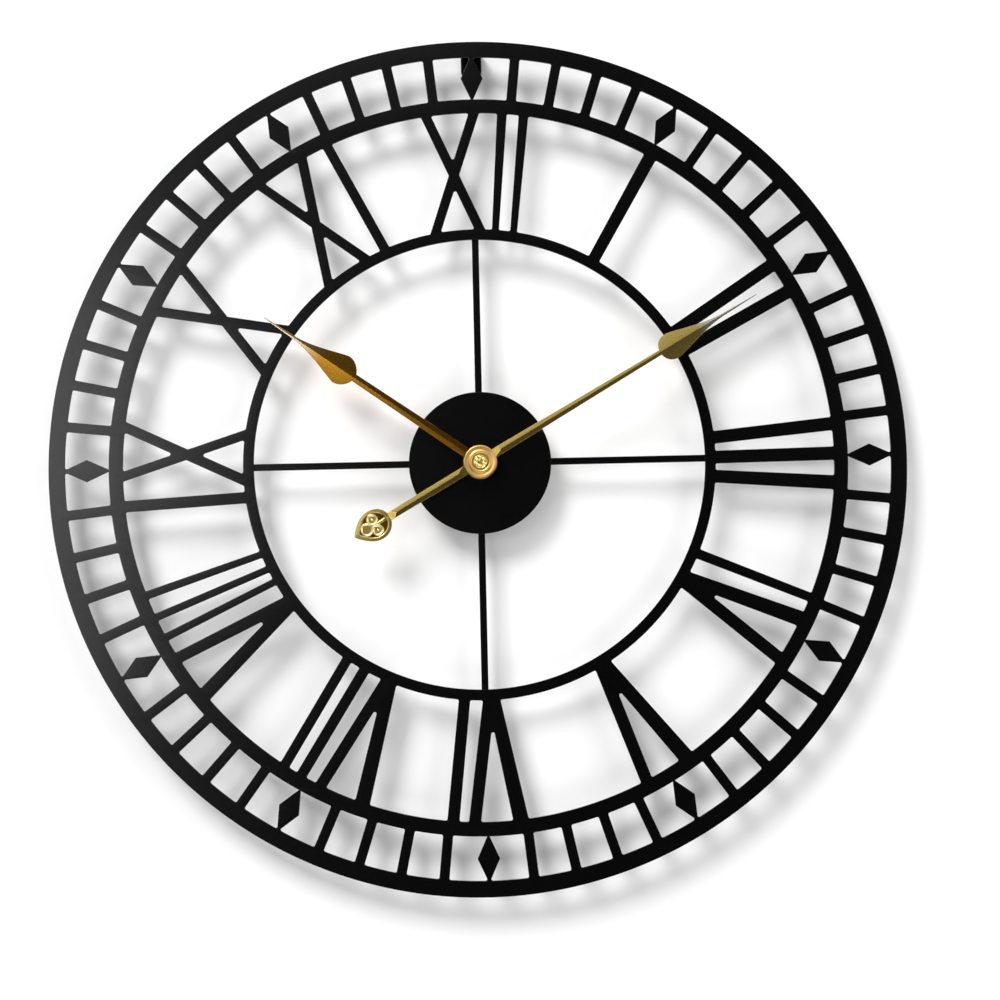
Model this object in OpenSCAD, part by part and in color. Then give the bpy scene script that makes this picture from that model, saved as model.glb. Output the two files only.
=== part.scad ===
// A 600 mm skeleton wall clock: a laser-cut steel face with Roman numerals, a round hub plate on
// four flat spokes, a pair of roof-shaped spade hands and a battery quartz movement behind the hub.
// The wall is the plane Y = 0, the front faces -Y, +Z is up to 12 o'clock, and the hands turn about
// the Y axis. Every sub-part is drawn lying down, x to the right, y up and z the height above the
// wall, and facing() then stands it up.

/* [Face] */
// Outer diameter of the face
face_d = 600; // [580:5:640]
// Radial width of the outer ring
outer_ring_w = 11.3; // [9:0.1:14]
// Radial height of the minute track, between the outer ring and the chapter ring
minute_track_h = 30.3; // [28:0.1:32]
// Radial width of the chapter ring
chapter_ring_w = 9.8; // [8:0.1:12]
// Radial height of the numerals, between the chapter ring and the inner ring
numeral_h = 83.4; // [80:0.1:86]
// Radial width of the inner ring
inner_ring_w = 7.5; // [6:0.1:10]
// Thickness of the face's and the hub's steel sheet
sheet_t = 1.5; // [1:0.1:2]
// Width of one minute bar
minute_bar_w = 7; // [5:0.1:8]
// Angle between neighbouring minute bars
minute_bar_pitch = 5.9; // [5.6:0.1:6]
// Width of one hour diamond
diamond_w = 15.5; // [12:0.5:18]
// Width of the neck where a diamond's point runs into a ring
diamond_neck = 1.6; // [1:0.1:3]

/* [Hub, spokes and hanger] */
// Diameter of the round hub plate
hub_d = 99.5; // [90:0.5:110]
// Width of one spoke
spoke_w = 4.8; // [4:0.1:8]
// Thickness of one spoke
spoke_t = 2; // [1.5:0.1:2.5]
// Width of the hanger bracket
hanger_w = 14.7; // [13:0.1:16]
// Diameter of the keyhole's round end, which a nail's or screw's head goes through
keyhole_d = 7.5; // [6:0.1:8]
// Width of the keyhole's slot, which the nail's or screw's shank sits in
keyhole_slot_w = 4; // [3:0.1:5]

/* [Hands] */
// Angle of the minute hand, clockwise from 12 o'clock
minute_angle = 60; // [0:6:354]
// Whole hours shown by the hour hand
hour_shown = 10; // [0:1:11]
// Length of the hour hand, from the axis to its tip
hour_l = 181; // [175:1:200]
// Length of the minute hand, from the axis to its tip
minute_l = 226; // [215:1:240]
// Slope of each facet of the roof-shaped hands
roof_angle = 12; // [8:1:14]
// Thickness of the hands' sheet
hand_t = 0.5; // [0.4:0.1:0.7]
// Radius of the minute hand's boss
boss_r = 11.3; // [11:0.1:13]

/* [Movement] */
// Width and height of the movement's case
case_w = 56; // [56:1:58]
// Depth of the movement's case, from the wall to the gasket
case_d = 16; // [16:0.5:18]
// Thickness of the case's walls
case_wall = 1.2; // [1:0.1:1.2]
// Diameter of the AA cell
cell_d = 14.2; // [13.5:0.1:14.2]
// Length of the AA cell, with its button
cell_l = 50.5; // [49.5:0.1:50.5]

/* [Hidden] */

round_fn = 96;      // every round edge is a true circle
small_fn = 32;

// Heights above the wall of the layers in front of the movement
gasket_t = 1;
face_z = case_d + gasket_t;
face_front = face_z + sheet_t;
nut_z = face_front + 0.6;
nut_h = 2.5;
bush_top = nut_z + nut_h + 1.4;
hour_collar_z = bush_top + 1;
hour_collar_h = 1.2;
hour_collar_r = boss_r + 0.6;
hour_ridge_z = hour_collar_z + 2;
minute_boss_z = hour_ridge_z + 0.6;
minute_ridge_z = minute_boss_z + 2.4;
arbor_top = minute_ridge_z + 0.4;

// Radii of the face's rings, from the outside in
outer_r = face_d / 2;
track_r1 = outer_r - outer_ring_w;
track_r0 = track_r1 - minute_track_h;
numeral_r1 = track_r0 - chapter_ring_w;
numeral_r0 = numeral_r1 - numeral_h;
inner_r = numeral_r0 - inner_ring_w;
overlap = 3;        // how far a bar runs into the rings at its ends

// The numerals' strokes, from 12 to 11 o'clock. Each is [foot, head, foot width, head width]: where
// its middle line crosses the inner ring and the chapter ring, measured across the hour's own line.
NUMERALS = [
    [[-27, 1, 7, 7.5], [3.5, -34, 7.5, 7.5], [14.5, 21, 5, 7], [27.5, 36.5, 5, 7]],
    [[1, 1, 8.5, 9.5]],
    [[-8, -13, 9, 9.5], [6.5, 9, 9, 9.5]],
    [[-14.5, -22.5, 9, 9.5], [-0.5, -1.5, 9, 9.5], [13, 19, 9, 10]],
    [[-17.5, -28.5, 7, 6.5], [1, -12, 9, 11], [4.5, 19.5, 9, 9]],
    [[-1.5, -16, 9, 11], [2, 16, 9, 8.5]],
    [[-6, -23, 9, 11], [-2.5, 9, 8.5, 8.5], [14.5, 24, 8, 8.5]],
    [[-19.5, -43, 9, 11], [-16, -11, 8, 8], [1, 4, 7.5, 7.5], [15, 17.5, 7, 7]],
    [[-17, -39.5, 9, 10.5], [-13.5, -7.5, 8.5, 8], [3, 9, 5, 5.5], [13, 24.5, 5, 5.5],
        [24.5, 41.5, 5, 6]],
    [[-21, -25.5, 8, 8], [-8.5, 31, 8, 8], [22.5, -4.5, 7, 7]],
    [[-15.5, 19.5, 7.5, 7.5], [16, -15.5, 7, 7.5]],
    [[-25, 4, 7, 7.5], [5.5, -31.5, 7.5, 7], [21, 24, 7, 7]]
];
first_bar = 15 - 1.5 * minute_bar_pitch;    // from an hour's line to both of its nearest bars

hour_angle = 30 * hour_shown + minute_angle / 12;

// The spokes and the hanger bracket
spoke_r0 = 33;
spoke_r1 = inner_r + 4.3;
hanger_t = 1.5;
hanger_top = outer_r - 3.5;
hanger_flange_h = 7;
keyhole_y = hanger_top - 13;
keyhole_slot_y = keyhole_y + 7.3;

// The movement's shafts, seen from the front, with the hands' axis at [0, 0]. Each gear is
// [number of teeth, module], and a pair's centre distance is half the sum of its pitch diameters.
CANNON_GEAR = [12, 0.4];
MINUTE_GEAR = [36, 0.4];
MINUTE_PINION = [10, 0.384];
HOUR_GEAR = [40, 0.384];
CENTRE_GEAR = [60, 0.26];
THIRD_PINION = [8, 0.26];
third_distance = centre_distance(CENTRE_GEAR, THIRD_PINION);
FOURTH_PINION = [8, third_distance / 36];
THIRD_GEAR = [64, third_distance / 36];
FOURTH_GEAR = [50, 0.3];
FIFTH_PINION = [10, 0.3];
FIFTH_GEAR = [48, 0.25];
ROTOR_PINION = [8, 0.25];
minute_bearing = 90;
third_bearing = 165;
fifth_bearing = 15;
rotor_bearing = 20;
minute_axis = polar(centre_distance(CANNON_GEAR, MINUTE_GEAR), minute_bearing);
third_axis = polar(third_distance, third_bearing);
fifth_axis = polar(centre_distance(FOURTH_GEAR, FIFTH_PINION), fifth_bearing);
rotor_axis = fifth_axis + polar(centre_distance(FIFTH_GEAR, ROTOR_PINION), rotor_bearing);

// Tooth shape, in modules and in shares of the tooth pitch
tooth_above = 0.85;
tooth_below = 1.15;
tooth_foot = 0.27;
tooth_tip = 0.12;

// Shaft radii, and the clearance that each turns with
arbor_r = 1.74;
hour_pipe_r = 2.55;
bush_r = 4;
fine_arbor_r = 0.4;
third_arbor_r = 0.3;
fourth_arbor_r = 0.5;
knob_arbor_r = 0.9;
running = 0.06;
magnet_r = 3;

stem_start = boss_r - 1;    // where the minute hand's stem and tail leave its boss

// The case and what it holds
case_half = case_w / 2;
case_corner = 3;
cavity_half = case_half - case_wall;
front_wall_z = case_d - case_wall;
bay_top = -11;
partition_t = 1.2;
bay_front_z = case_d - 0.95;
cell_axis = [bay_top - 0.8 - cell_d / 2, bay_front_z - 0.05 - cell_d / 2];
button_l = 1.3;
button_r = 2.75;
contact_x = cavity_half - 0.6;
contact_t = 0.4;
cell_x1 = contact_x - 0.1;
cell_x0 = cell_x1 - cell_l;
tail_z = [2.2, 4.2];
bridge_z = 2.2;
bridge_t = 1.2;
BRIDGE_POSTS = [[-16, -7.6], [14, -7.6], [-15.5, 10.8]];
BOARD_POSTS = [[-22, 22], [0, 23.4]];
post_r = 1.6;
screw_r = 0.7;
board_z = 2.6;
board_t = 1;
knob_z = 0.3;
pivot_z = bridge_z + 0.1;
pivot_top = front_wall_z + 0.4;
rotor_post_z = 10;

// The stepping motor: the stator's plate, and the coil across its two arms
stator_z = 6.8;
stator_t = 1;
stator_hole_r = magnet_r + 0.5;
coil_y = 20;
coil_x = [10.9, 18.8];
STATOR_LEFT = [5.5, coil_y];
STATOR_RIGHT = [23.5, coil_y];
core_w = 2.5;
core_t = 1;
core_z = stator_z + stator_t;

function polar(r, a) = [r * cos(a), r * sin(a)];
function pitch_r(gear) = gear[0] * gear[1] / 2;
function centre_distance(a, b) = pitch_r(a) + pitch_r(b);
// The turn that puts gear b, at bearing from gear a, in mesh with gear a turned to phase
function mesh_phase(a, b, bearing, phase) =
    bearing + 180 + 180 / b[0] - (phase - bearing) * a[0] / b[0];
function bezier(p, steps) = [
    for (i = [0:steps]) let (t = i / steps, s = 1 - t)
        s ^ 3 * p[0] + 3 * s ^ 2 * t * p[1] + 3 * s * t ^ 2 * p[2] + t ^ 3 * p[3]
];

minute_phase = mesh_phase(CANNON_GEAR, MINUTE_GEAR, minute_bearing, 0);
hour_phase = mesh_phase(MINUTE_PINION, HOUR_GEAR, minute_bearing + 180, minute_phase);
third_phase = mesh_phase(CENTRE_GEAR, THIRD_PINION, third_bearing, 0);
fourth_phase = mesh_phase(THIRD_GEAR, FOURTH_PINION, third_bearing + 180, third_phase);
fifth_phase = mesh_phase(FOURTH_GEAR, FIFTH_PINION, fifth_bearing, fourth_phase);
rotor_phase = mesh_phase(FIFTH_GEAR, ROTOR_PINION, rotor_bearing, fifth_phase);

// ---------- shared shapes ----------

module facing() rotate([90, 0, 0]) children();

module clockwise(angle) rotate([0, 0, -angle]) children();

module sheet(z, thickness) translate([0, 0, z]) linear_extrude(thickness) children();

module disc(r, fn = round_fn) circle(r = r, $fn = fn);

module ring(r1, r0, fn = round_fn) difference() {
    disc(r1, fn);
    disc(r0, fn);
}

module rod(r, z0, z1) translate([0, 0, z0]) cylinder(r = r, h = z1 - z0, $fn = small_fn);

module turned(profile) rotate_extrude($fn = round_fn) polygon(profile);

module box(low, high) translate(low) cube(high - low);

// A straight flat bar between two points, with round ends
module bar(p, q, w) {
    along = q - p;
    translate(p) rotate(atan2(along[1], along[0])) translate([0, -w / 2]) square([norm(along), w]);
    for (end = [p, q]) translate(end) disc(w / 2, small_fn);
}

module rounded_square(half, r) {
    square([2 * half, 2 * (half - r)], center = true);
    square([2 * (half - r), 2 * half], center = true);
    for (x = [-1, 1], y = [-1, 1]) translate([x, y] * (half - r)) disc(r, small_fn);
}

module gear(spec, phase = 0) {
    teeth = spec[0];
    root_r = spec[1] * (teeth / 2 - tooth_below);
    tip_r = spec[1] * (teeth / 2 + tooth_above);
    corners = [[root_r, -tooth_foot], [tip_r, -tooth_tip], [tip_r, tooth_tip], [root_r, tooth_foot]];
    polygon([
        for (i = [0:teeth - 1], c = corners) polar(c[0], phase + (i + c[1]) * 360 / teeth)
    ]);
}

// ---------- face ----------

module numeral_stroke(s) {
    slope = (s[1] - s[0]) / numeral_h;
    widening = (s[3] - s[2]) / numeral_h;
    function middle(r) = s[0] + slope * (r - numeral_r0);
    function half(r) = (s[2] + widening * (r - numeral_r0)) / 2;
    low = numeral_r0 - overlap;
    high = numeral_r1 + overlap;
    polygon([
        [middle(low) - half(low), low], [middle(low) + half(low), low],
        [middle(high) + half(high), high], [middle(high) - half(high), high]
    ]);
}

module diamond() {
    half_h = minute_track_h / 2;
    corner = [diamond_neck / 2, half_h];
    translate([0, track_r0 + half_h]) {
        polygon([
            [diamond_w / 2, 0], corner, [-corner[0], corner[1]],
            [-diamond_w / 2, 0], -corner, [corner[0], -corner[1]]
        ]);
        square([diamond_neck, 2 * (half_h + overlap)], center = true);
    }
}

module minute_bar() translate([-minute_bar_w / 2, track_r0 - overlap])
    square([minute_bar_w, minute_track_h + 2 * overlap]);

module face_outline() {
    ring(outer_r, track_r1);
    ring(track_r0, numeral_r1);
    ring(numeral_r0, inner_r);
    for (hour = [0:11]) clockwise(30 * hour) {
        diamond();
        for (bar = [0:3]) clockwise(first_bar + bar * minute_bar_pitch) minute_bar();
        for (s = NUMERALS[hour]) numeral_stroke(s);
    }
}

module dial_plate() color("#141414") facing() sheet(face_z, sheet_t) face_outline();

module hub_plate() color("#141414") facing() sheet(face_z, sheet_t) ring(hub_d / 2, bush_r + 0.2);

// A flat bar behind the hub plate's rim and the inner ring
module spoke(hour) color("#1a1a1a") facing() clockwise(30 * hour)
    sheet(face_z - spoke_t, spoke_t)
        translate([-spoke_w / 2, spoke_r0]) square([spoke_w, spoke_r1 - spoke_r0]);

module spoke_12() spoke(12);

module spoke_3() spoke(3);

module spoke_6() spoke(6);

module spoke_9() spoke(9);

module keyhole() {
    translate([0, keyhole_y]) disc(keyhole_d / 2, small_fn);
    translate([0, keyhole_slot_y]) disc(keyhole_slot_w / 2, small_fn);
    translate([-keyhole_slot_w / 2, keyhole_y]) square([keyhole_slot_w, keyhole_slot_y - keyhole_y]);
}

// A strip bent twice: a flange on the back of the outer ring, a web, and a tab on the wall
module hanger_bracket() color("#1a1a1a") facing() {
    left = -hanger_w / 2;
    sheet(face_z - hanger_t, hanger_t)
        translate([left, hanger_top - hanger_flange_h]) square([hanger_w, hanger_flange_h]);
    sheet(0, face_z) translate([left, hanger_top - hanger_t]) square([hanger_w, hanger_t]);
    sheet(0, hanger_t) difference() {
        union() {
            translate([left, keyhole_y + 1]) square([hanger_w, hanger_top - keyhole_y - 1]);
            translate([0, keyhole_y + 1]) disc(hanger_w / 2);
        }
        keyhole();
    }
}

// ---------- movement case and its fixings ----------

module case_cavity() {
    translate([-cavity_half, bay_top + partition_t, -1])
        cube([2 * cavity_half, cavity_half - bay_top - partition_t, front_wall_z + 1]);
    translate([-cavity_half, -cavity_half, -1])
        cube([2 * cavity_half, bay_top + cavity_half, bay_front_z + 1]);
    // the rear cover's seat
    translate([-case_w, bay_top + 0.6, -1]) cube([2 * case_w, case_w, 1 + case_wall]);
}

module contact_slots() for (x = [-1, 1])
    box([x > 0 ? contact_x - 0.2 : -cavity_half, bay_top - 1, tail_z[0] - 0.2],
        [x > 0 ? cavity_half : -contact_x + 0.2, bay_top + partition_t + 1, tail_z[1] + 0.2]);

module case_front() color("#20201f") facing() difference() {
    union() {
        difference() {
            sheet(0, case_d) rounded_square(case_half, case_corner);
            case_cavity();
        }
        for (p = BRIDGE_POSTS) translate(p) rod(post_r, bridge_z + bridge_t, front_wall_z + 0.5);
        for (p = BOARD_POSTS) translate(p) rod(post_r, board_z + board_t, front_wall_z + 0.5);
        translate(rotor_axis) rod(2, rotor_post_z, front_wall_z + 0.5);
    }
    contact_slots();
    rod(bush_r, front_wall_z - 1, case_d + 1);
    for (p = BRIDGE_POSTS) translate(p) rod(screw_r, 0, 7);
    translate(minute_axis) rod(0.5 + running, front_wall_z - 1, pivot_top + 0.1);
    translate(third_axis) rod(third_arbor_r + running, front_wall_z - 1, pivot_top + 0.1);
    translate(fifth_axis) rod(fine_arbor_r + running, front_wall_z - 1, pivot_top + 0.1);
    translate(rotor_axis) rod(fine_arbor_r + running, 0, rotor_post_z + 1.1);
}

module rear_cover() color("#262625") facing() {
    sheet(0, case_wall) difference() {
        intersection() {
            rounded_square(case_half, case_corner);
            translate([-case_w, bay_top + 0.6]) square([2 * case_w, case_w]);
        }
        translate(minute_axis) disc(6);
    }
    // lugs that locate the cover inside the case's walls
    for (x = [-1, 1]) translate([x * 14 - 4, cavity_half - 0.8, case_wall]) cube([8, 0.8, 1]);
}

// Brass bush with a flange inside the case and a screw thread through the hub plate
module threaded_bush() color("#c9a24b") facing() turned(concat(
    [[hour_pipe_r + 0.08, front_wall_z - 1.2], [6.5, front_wall_z - 1.2], [6.5, front_wall_z],
        [bush_r, front_wall_z]],
    [for (z = [face_z + 0.25:0.75:bush_top - 0.5], c = [[0, 0], [-0.3, 0.25], [-0.3, 0.4], [0, 0.65]])
        [bush_r + c[0], z + c[1]]],
    [[bush_r, bush_top - 0.3], [bush_r - 0.3, bush_top], [hour_pipe_r + 0.08, bush_top]]
));

module rubber_gasket() color("#101010") facing() sheet(case_d, gasket_t) ring(14, bush_r + 0.2);

module dial_washer() color("#c9a24b") facing() sheet(face_front, 0.6) ring(8, bush_r + 0.2);

module clamp_nut() color("#c9a24b") facing() sheet(nut_z, nut_h) difference() {
    circle(r = 6.4, $fn = 6);
    disc(bush_r + 0.02);
}

module train_bridge() color("#e8e4da") facing() sheet(bridge_z, bridge_t) difference() {
    union() {
        bar(BRIDGE_POSTS[0], BRIDGE_POSTS[1], 4);
        bar(BRIDGE_POSTS[0], BRIDGE_POSTS[2], 4);
        polygon([[-16, -9], [16.5, -9], [18.5, -2], [18.5, 8], [14, 12.5], [-15.5, 12.5]]);
    }
    for (p = BRIDGE_POSTS) translate(p) disc(screw_r, small_fn);
    disc(fourth_arbor_r + running, small_fn);
    translate(minute_axis) disc(knob_arbor_r + running, small_fn);
    translate(third_axis) disc(third_arbor_r + running, small_fn);
    translate(fifth_axis) disc(fine_arbor_r + running, small_fn);
    translate(rotor_axis) disc(fine_arbor_r + running, small_fn);
}

module bridge_screws() color("#c8c8cc") facing() for (p = BRIDGE_POSTS) translate(p) {
    difference() {
        rod(1.4, bridge_z - 0.8, bridge_z);
        for (a = [0, 90]) rotate(a) translate([-1.1, -0.18, bridge_z - 1]) cube([2.2, 0.36, 0.6]);
    }
    rod(screw_r, bridge_z, 6.5);
}

// ---------- stepping motor and electronics ----------

module stator() color("#9a9a9e") facing() sheet(stator_z, stator_t) difference() {
    union() {
        translate(rotor_axis) disc(4.8);
        bar(rotor_axis + [-2.6, 2.6], STATOR_LEFT, 4);
        bar(rotor_axis + [2.6, 2.6], STATOR_RIGHT, 4);
    }
    translate(rotor_axis) {
        disc(stator_hole_r);
        // the notches that set where the rotor rests
        for (a = [45, 225]) rotate(a) translate([stator_hole_r, 0]) disc(0.3, small_fn);
    }
}

module coil_core() color("#9a9a9e") facing()
    box([STATOR_LEFT[0] - 2, coil_y - core_w / 2, core_z],
        [STATOR_RIGHT[0] + 2, coil_y + core_w / 2, core_z + core_t]);

module coil_slice(x0, x1) translate([x0, coil_y, core_z + core_t / 2]) rotate([90, 0, 90])
    linear_extrude(x1 - x0) children();

module coil_bobbin() color("#e8e4da") facing() difference() {
    union() {
        coil_slice(coil_x[0], coil_x[1]) square([core_w + 1, core_t + 1], center = true);
        for (x = [coil_x[0] - 0.6, coil_x[1]]) coil_slice(x, x + 0.6) disc(4, small_fn);
    }
    coil_slice(coil_x[0] - 2, coil_x[1] + 2) square([core_w, core_t], center = true);
}

module coil_winding() color("#b8622c") facing() coil_slice(coil_x[0], coil_x[1]) difference() {
    disc(3.5, small_fn);
    square([core_w + 1, core_t + 1], center = true);
}

module circuit_board() color("#1f5a33") facing() sheet(board_z, board_t)
    translate([-contact_x, 17.5]) square([2 * contact_x, 8.5]);

module chip_cover() color("#101010") facing() translate([-6, 21.8, 0])
    rod(2.6, board_z + board_t, board_z + board_t + 0.9);

module quartz_crystal() color("#c8c8cc") facing() translate([-16, 22.5, board_z + board_t + 1])
    rotate([0, 90, 0]) cylinder(r = 1, h = 6, $fn = small_fn);

// The strip that leads from a contact, past the partition, to the circuit board
module contact_tail(x0) box([x0, bay_top - 2, tail_z[0]], [x0 + contact_t, 20, tail_z[1]]);

module contact_plate(x0) box([x0, bay_top - 12, tail_z[0]], [x0 + contact_t, bay_top - 2, 12.5]);

module contact_positive() color("#c8c8cc") facing() {
    contact_plate(contact_x);
    contact_tail(contact_x);
}

// A leaf, bent out of the plate, that presses on the cell's flat end
module contact_negative() color("#c8c8cc") facing() {
    x0 = -contact_x - contact_t;
    crest = cell_x0 - 0.1;
    foot = -contact_x;
    y0 = bay_top - 12;
    y1 = bay_top - 2;
    middle = (y0 + y1) / 2;
    contact_plate(x0);
    contact_tail(x0);
    sheet(cell_axis[1] - 3, 5) polygon([
        [foot, y0], [crest, middle], [foot, y1], [foot, y1 - 0.8], [crest - 0.5, middle],
        [foot, y0 + 0.8]
    ]);
}

module battery() color("#2e7d4f") facing() translate([0, cell_axis[0], cell_axis[1]])
    rotate([0, 90, 0]) {
        translate([0, 0, cell_x0]) cylinder(r = cell_d / 2, h = cell_l - button_l, $fn = round_fn);
        translate([0, 0, cell_x1 - button_l - 0.1])
            cylinder(r = button_r, h = button_l + 0.1, $fn = round_fn);
    }

// ---------- gear train ----------

module cannon_pinion() color("#c9a24b") facing() difference() {
    union() {
        rod(arbor_r, 8.9, arbor_top);
        sheet(10.6, 1.4) gear(CANNON_GEAR);
    }
    rod(fourth_arbor_r + running, 8, 18);
}

module hour_wheel() color("#f2efe6") facing() difference() {
    union() {
        sheet(12.2, 1) gear(HOUR_GEAR, hour_phase);
        rod(hour_pipe_r, 12.2, hour_collar_z + hour_collar_h);
    }
    rod(arbor_r + running, 11, hour_collar_z + 2);
}

module minute_wheel() color("#f2efe6") facing() translate(minute_axis) {
    sheet(10.8, 1) gear(MINUTE_GEAR, minute_phase);
    sheet(11.8, 1.6) gear(MINUTE_PINION, minute_phase);
    rod(knob_arbor_r, knob_z + 0.8, 12);
    rod(0.5, 13, pivot_top);
}

module setting_knob() color("#303030") facing() translate(minute_axis) difference() {
    union() {
        sheet(knob_z, 1.6) gear([36, 0.292]);
        rod(3, knob_z, bridge_z - 0.2);
    }
    rod(knob_arbor_r, knob_z + 0.8, 3);
    for (a = [0, 90]) rotate(a) translate([-2.2, -0.4, -1]) cube([4.4, 0.8, knob_z + 1.6]);
}

module centre_wheel() color("#f2efe6") facing() sheet(9.3, 1) difference() {
    gear(CENTRE_GEAR);
    disc(arbor_r + running, small_fn);
    for (a = [0:60:300]) rotate(a) translate([4.9, 0]) disc(1.3, small_fn);
}

module third_wheel() color("#f2efe6") facing() translate(third_axis) {
    sheet(7.5, 0.8) gear(THIRD_GEAR, third_phase);
    sheet(8.3, 2.1) gear(THIRD_PINION, third_phase);
    rod(third_arbor_r, pivot_z, pivot_top);
}

module fourth_wheel() color("#f2efe6") facing() {
    sheet(5.9, 0.8) gear(FOURTH_GEAR, fourth_phase);
    sheet(6.7, 2) gear(FOURTH_PINION, fourth_phase);
    rod(fourth_arbor_r, pivot_z, 17.5);
}

module fifth_wheel() color("#f2efe6") facing() translate(fifth_axis) {
    sheet(4.4, 0.8) gear(FIFTH_GEAR, fifth_phase);
    sheet(5.2, 1.8) gear(FIFTH_PINION, fifth_phase);
    rod(fine_arbor_r, pivot_z, pivot_top);
}

module rotor() color("#7a7a80") facing() translate(rotor_axis) {
    sheet(4, 1.4) gear(ROTOR_PINION, rotor_phase);
    rod(magnet_r, 6.2, 8.4);
    rod(fine_arbor_r, pivot_z, rotor_post_z + 1);
}

// ---------- hands ----------

// Both facets of a roof-shaped hand, from the half outline [half width, distance from the axis]
module roof(half_outline, ridge_z) for (side = [0, 1]) mirror([side, 0, 0])
    translate([0, 0, ridge_z]) rotate([0, roof_angle, 0])
        translate([0, 0, -hand_t]) linear_extrude(hand_t) polygon(half_outline);

// A stem that swells into a spade and draws out to a fine tip
function spade(stem, shoulder, belly, neck, tip) = concat(
    [[0, stem[1]], stem],
    bezier([shoulder, shoulder + [3.2, 1.2], [belly[0], belly[1] - 5.5], belly], 8),
    bezier([belly, belly + [0, 4], [neck[0] + 0.6, (belly[1] + 1.4 * neck[1]) / 2.4], neck], 12),
    [[tip[0], tip[1] - 1], [0, tip[1]]]
);

module hour_hand() color("#c08a2e") facing() clockwise(hour_angle) difference() {
    union() {
        turned([
            [0, hour_collar_z], [hour_collar_r - 0.4, hour_collar_z],
            [hour_collar_r, hour_collar_z + 0.4], [hour_collar_r, hour_collar_z + 0.8],
            [hour_collar_r - 0.4, hour_collar_z + hour_collar_h],
            [0, hour_collar_z + hour_collar_h]
        ]);
        roof(spade([3.5, 8], [2.8, 105.5], [10.8, 116.5], [1.2, 156], [0.5, hour_l]), hour_ridge_z);
    }
    rod(hour_pipe_r, hour_collar_z - 1, hour_ridge_z + 1);
}

function heart_half() = concat(
    [[0, 73.5]],
    bezier([[3, 73.5], [8, 75], [10.9, 79.5], [10.9, 85]], 8),
    bezier([[10.9, 85], [10.9, 91], [6.5, 96], [0, 101.5]], 10)
);

module heart(scale_to = 1) {
    centre = [0, 85.5];
    for (side = [0, 1]) mirror([side, 0])
        polygon([for (p = heart_half()) centre + (p - centre) * scale_to]);
}

// The counterweight: a heart-shaped plate with a raised rim and a raised three-lobed leaf
module tail_heart() {
    sheet(minute_boss_z + 0.7, 1.2) heart();
    sheet(minute_boss_z + 1.8, 0.7) difference() {
        heart();
        heart(0.86);
    }
    sheet(minute_boss_z + 1.8, 0.9) {
        for (p = [[0, 92.4], [-4.6, 85.6], [4.6, 85.6]]) translate(p) disc(2.9, small_fn);
        bar([0, 91], [0, 78.5], 2.4);
        bar([-4, 85.6], [4, 85.6], 2);
    }
}

module minute_boss() turned([
    [0, minute_boss_z], [boss_r - 0.4, minute_boss_z], [boss_r, minute_boss_z + 0.4],
    [boss_r, minute_boss_z + 1.3], [boss_r - 0.8, minute_boss_z + 1.8],
    [9.2, minute_boss_z + 1.5], [8.6, minute_boss_z + 1.3], [8, minute_boss_z + 2.2],
    [7.2, minute_boss_z + 2.6], [6.2, minute_boss_z + 2.3], [5.6, minute_boss_z + 1.6],
    [0, minute_boss_z + 1.6]
]);

module minute_hand() color("#c9a659") facing() clockwise(minute_angle) difference() {
    union() {
        minute_boss();
        roof(spade([3.2, stem_start], [1.8, 147.5], [9.4, 158], [1, 200], [0.35, minute_l]),
            minute_ridge_z);
        rotate(180) {
            roof([[0, stem_start], [3.2, stem_start], [2.9, 75], [0, 75]], minute_ridge_z);
            tail_heart();
        }
    }
    rod(arbor_r, minute_boss_z - 1, minute_ridge_z + 2);
    rod(5.4, minute_boss_z + 1.6, minute_ridge_z + 2);
}

// The nut that holds the minute hand, domed, with a ring of six beads
module hand_cap() color("#d9b765") facing() {
    base = minute_boss_z + 1.6;
    difference() {
        turned([
            [0, base], [5.3, base], [5.3, base + 0.5], [4.7, base + 1.1], [3, base + 1.6],
            [0, base + 1.8]
        ]);
        rod(arbor_r, base - 1, arbor_top);
    }
    for (a = [0:60:300]) rotate(a) translate([2.7, 0, base + 1.2]) sphere(r = 0.8, $fn = small_fn);
}

dial_plate();
hub_plate();
spoke_12();
spoke_3();
spoke_6();
spoke_9();
hanger_bracket();
case_front();
rear_cover();
threaded_bush();
rubber_gasket();
dial_washer();
clamp_nut();
train_bridge();
bridge_screws();
stator();
coil_core();
coil_bobbin();
coil_winding();
circuit_board();
chip_cover();
quartz_crystal();
contact_positive();
contact_negative();
minute_hand();
hand_cap();
cannon_pinion();
hour_hand();
hour_wheel();
minute_wheel();
setting_knob();
centre_wheel();
third_wheel();
fourth_wheel();
fifth_wheel();
rotor();
battery();
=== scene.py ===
"""The looks of a skeleton wall clock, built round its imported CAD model.

The wall is the plane Y = 0 and the front faces -Y. The face, the spokes and the hub plate take
their outlines from the CAD model and get rounded corners and edges. The hands are folded sheets,
with a turned boss, a rosette for a nut and a heart in relief. The movement keeps its CAD shapes.
Points of a hand are given across it, along it from the hands' axis, and in height above the wall.
"""

import math

import bmesh
import bpy
import numpy as np
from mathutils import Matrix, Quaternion, Vector
from mathutils.geometry import tessellate_polygon


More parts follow.
